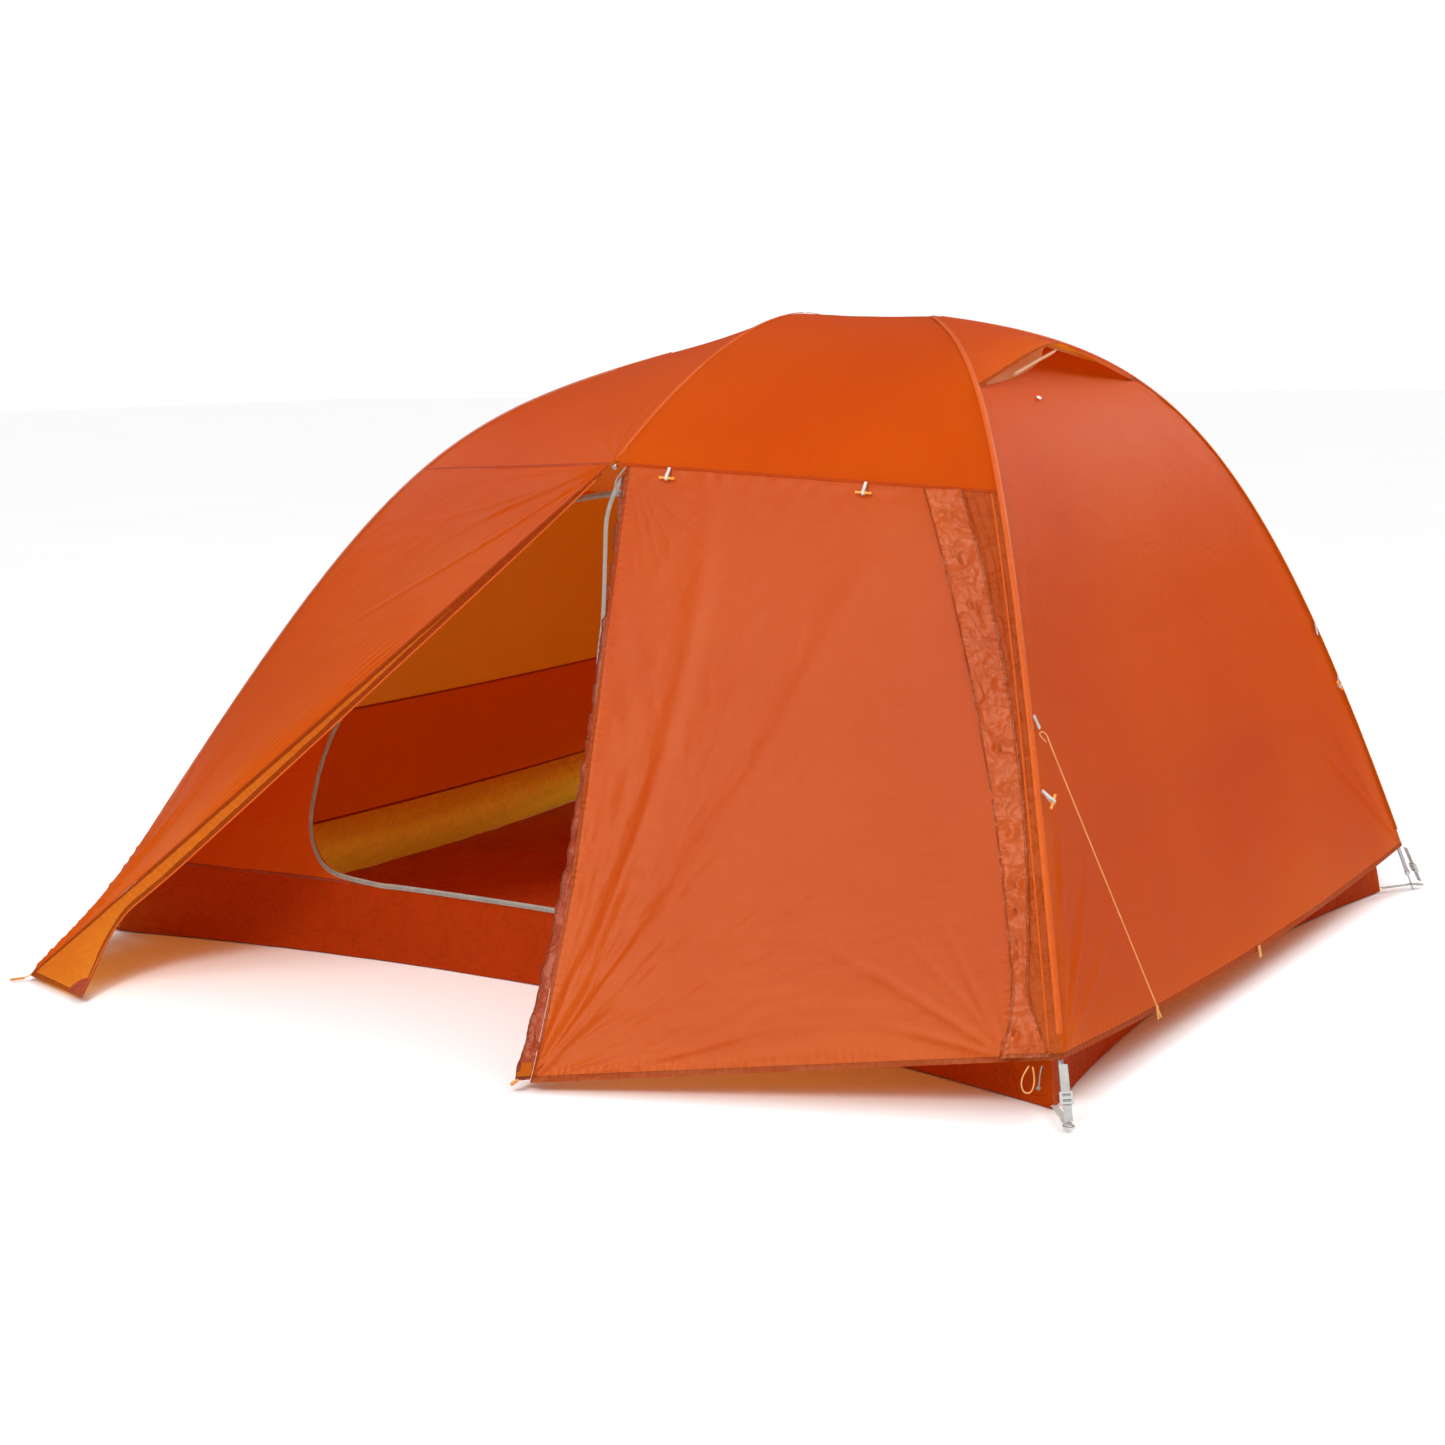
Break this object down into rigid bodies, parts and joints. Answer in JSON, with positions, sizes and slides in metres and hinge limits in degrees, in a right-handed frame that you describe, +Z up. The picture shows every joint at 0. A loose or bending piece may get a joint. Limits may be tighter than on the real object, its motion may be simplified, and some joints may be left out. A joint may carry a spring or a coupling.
{
  "type": "dome tent on poles",
  "caption": "Free-standing double-wall dome tent on hubbed poles, with an open front vestibule, a lifting front panel, an inner tent with a tub floor and a hooded roof vent.",
  "frame": {"origin": "on the ground under the middle of the floor", "axes": "+Z up, the open front vestibule on the -Y side, the vented end at +X"},
  "size_m": [2.6625, 2.7758, 1.4579],
  "materials": {
    "pole_aluminium": "satin anodised",
    "ferrule_aluminium": "polished",
    "hub_plastic": "moulded",
    "tip_aluminium": "turned",
    "fly_fabric": "coated ripstop, slight sheen",
    "flap_fabric": "coated ripstop, doubled",
    "inner_fabric": "uncoated ripstop",
    "gable_fabric": "fine translucent weave",
    "floor_fabric": "heavy coated weave",
    "mesh_fabric": "fine netting",
    "zip_tape": "woven tape and coil",
    "zip_slider": "moulded",
    "webbing_grey": "ribbed webbing",
    "tab_orange": "folded tape",
    "buckle_plastic": "moulded",
    "ring_steel": "plated",
    "toggle_plastic": "moulded",
    "strut_plastic": "moulded",
    "cord_orange": "braided",
    "cord_grey": "braided"
  },
  "bodies": {
    "tent": {"pole_front_right": "pole_aluminium", "pole_front_left": "pole_aluminium", "pole_back_right": "pole_aluminium", "pole_back_left": "pole_aluminium", "pole_ridge": "pole_aluminium", "pole_brow": "pole_aluminium", "pole_ferrules": "ferrule_aluminium", "pole_hubs": "hub_plastic", "brow_swivel": "hub_plastic", "pole_tips": "tip_aluminium", "floor_sheet": "floor_fabric", "tub_walls": "floor_fabric", "inner_walls_end": "inner_fabric", "inner_wall_back": "inner_fabric", "inner_wall_front": "inner_fabric", "inner_gables": "gable_fabric", "inner_ceiling": "gable_fabric", "inner_door_zip": "zip_tape", "fly_rear_zip": "zip_tape", "fly_zip_right": "zip_tape", "fly_roof_front": "fly_fabric", "fly_roof_back": "fly_fabric", "fly_end_left": "fly_fabric", "fly_end_right": "fly_fabric", "fly_vent_hood": "fly_fabric", "fly_wall_left": "fly_fabric", "fly_rear_panels": "fly_fabric", "fly_front_strip": "fly_fabric", "vent_patch": "flap_fabric", "vent_mesh": "mesh_fabric", "hem_loops": "tab_orange", "corner_straps": "webbing_grey", "floor_straps": "webbing_grey", "guy_tabs": "webbing_grey", "corner_rings": "ring_steel", "guyline": "cord_orange", "hem_bungee": "cord_orange", "zip_pull_cord": "cord_grey"},
    "front_panel": {"fly_front_panel": "fly_fabric", "storm_flap_right": "flap_fabric", "storm_flap_left": "flap_fabric", "fly_zip_left": "zip_tape", "front_peg_loop": "tab_orange", "brow_tie": "cord_grey"},
    "fly_slider": {"fly_zip_slider": "zip_slider"},
    "flap": {"left_flap": "fly_fabric", "left_flap_zip": "zip_tape"},
    "inner_door": {"inner_door_panel": "inner_fabric"},
    "inner_slider": {"inner_door_slider": "zip_slider"},
    "vent_stay": {"vent_strut": "strut_plastic"},
    "buckle_front_right": {"corner_buckle_front_right": "buckle_plastic"},
    "toggle_front_right": {"toggle_side_front_right": "toggle_plastic"},
    "buckle_front_left": {"corner_buckle_front_left": "buckle_plastic"},
    "toggle_front_left": {"toggle_side_front_left": "toggle_plastic"},
    "buckle_back_right": {"corner_buckle_back_right": "buckle_plastic"},
    "toggle_back_right": {"toggle_side_back_right": "toggle_plastic"},
    "buckle_back_left": {"corner_buckle_back_left": "buckle_plastic"},
    "toggle_back_left": {"toggle_side_back_left": "toggle_plastic"},
    "toggle_left_brow": {"toggle_brow_left": "toggle_plastic"},
    "toggle_right_brow": {"toggle_brow_right": "toggle_plastic"}
  },
  "joints": [
    {"name": "front_panel_lift", "type": "hinge", "parent": "tent", "child": "front_panel", "pos_m": [0.15, -0.745, 1.15], "axis": [0.9735, 0.2182, -0.0679], "range_deg": [-70, 0]},
    {"name": "fly_slider_run", "type": "slide", "parent": "front_panel", "child": "fly_slider", "axis": [-0.1714, 0.465, 0.8685], "range_m": [0, 1.05]},
    {"name": "flap_swing", "type": "hinge", "parent": "tent", "child": "flap", "pos_m": [-1.085, -1.362, 0.01], "axis": [0.6898, 0.3446, 0.6367], "range_deg": [-70, 0]},
    {"name": "inner_door_swing", "type": "hinge", "parent": "tent", "child": "inner_door", "pos_m": [0.326, -0.80049, 0.2], "axis": [0, 0.1063, 0.9943], "range_deg": [-80, 20]},
    {"name": "inner_slider_run", "type": "slide", "parent": "tent", "child": "inner_slider", "axis": [-0.9999, 0.01, 0], "range_m": [0, 0.45]},
    {"name": "vent_stay_fold", "type": "hinge", "parent": "tent", "child": "vent_stay", "pos_m": [0.8012, -0.20766, 1.31039], "axis": [0.6606, 0, 0.7507], "range_deg": [-50, 0]},
    {"name": "strap_front_right", "type": "slide", "parent": "tent", "child": "buckle_front_right", "axis": [-0.2829, 0.3442, 0.8953], "range_m": [-0.008, 0.03]},
    {"name": "strap_front_left", "type": "slide", "parent": "tent", "child": "buckle_front_left", "axis": [0.4728, 0.4271, 0.7708], "range_m": [-0.008, 0.03]},
    {"name": "strap_back_right", "type": "slide", "parent": "tent", "child": "buckle_back_right", "axis": [-0.2829, -0.3442, 0.8953], "range_m": [-0.008, 0.03]},
    {"name": "strap_back_left", "type": "slide", "parent": "tent", "child": "buckle_back_left", "axis": [0.4728, -0.4271, 0.7708], "range_m": [-0.008, 0.03]},
    {"name": "toggle_swing_front_right", "type": "hinge", "parent": "tent", "child": "toggle_front_right", "pos_m": [1.16689, -0.80959, 0.562], "axis": [0.1245, -0.7728, -0.6223], "range_deg": [0, 110]},
    {"name": "toggle_swing_front_left", "type": "hinge", "parent": "tent", "child": "toggle_front_left", "pos_m": [-1.05838, -0.76113, 0.515], "axis": [0.1245, 0.7728, 0.6223], "range_deg": [0, 110]},
    {"name": "toggle_swing_back_right", "type": "hinge", "parent": "tent", "child": "toggle_back_right", "pos_m": [1.16689, 0.80959, 0.562], "axis": [-0.1245, -0.7728, 0.6223], "range_deg": [0, 110]},
    {"name": "toggle_swing_back_left", "type": "hinge", "parent": "tent", "child": "toggle_back_left", "pos_m": [-1.05838, 0.76113, 0.515], "axis": [-0.1245, 0.7728, -0.6223], "range_deg": [0, 110]},
    {"name": "toggle_swing_left_brow", "type": "hinge", "parent": "front_panel", "child": "toggle_left_brow", "pos_m": [0.27992, -0.72823, 1.13655], "axis": [0.9735, 0.2182, -0.0679], "range_deg": [-110, 0]},
    {"name": "toggle_swing_right_brow", "type": "hinge", "parent": "front_panel", "child": "toggle_right_brow", "pos_m": [0.69281, -0.63611, 1.10845], "axis": [0.9735, 0.2182, -0.0679], "range_deg": [-110, 0]}
  ]
}
